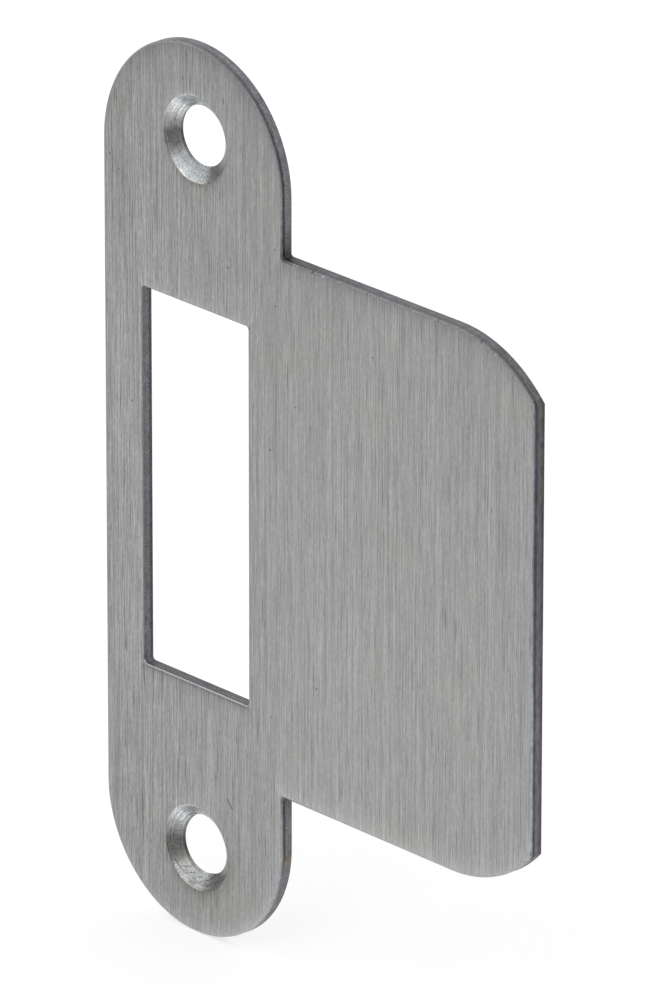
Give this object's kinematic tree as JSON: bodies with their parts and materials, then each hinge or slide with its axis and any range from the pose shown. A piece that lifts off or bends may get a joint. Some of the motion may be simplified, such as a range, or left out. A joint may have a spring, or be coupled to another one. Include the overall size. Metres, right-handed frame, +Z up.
{
  "type": "door strike plate",
  "caption": "Flat steel strike plate with round ends, a latch opening, two countersunk screw holes and a long side lip that leads the latch bolt in.",
  "frame": {"origin": "midway between the two screw holes, on the back face that seats on the door frame", "axes": "+Z up the plate through both screw holes, +X along the lip, +Y out of the back face into the door frame, so the brushed front looks along -Y"},
  "size_m": [0.0606, 0.0012, 0.0938],
  "materials": {
    "steel": "brushed along the plate, with darker sheared edges"
  },
  "bodies": {
    "root": {"strike_plate": "steel"}
  },
  "joints": []
}
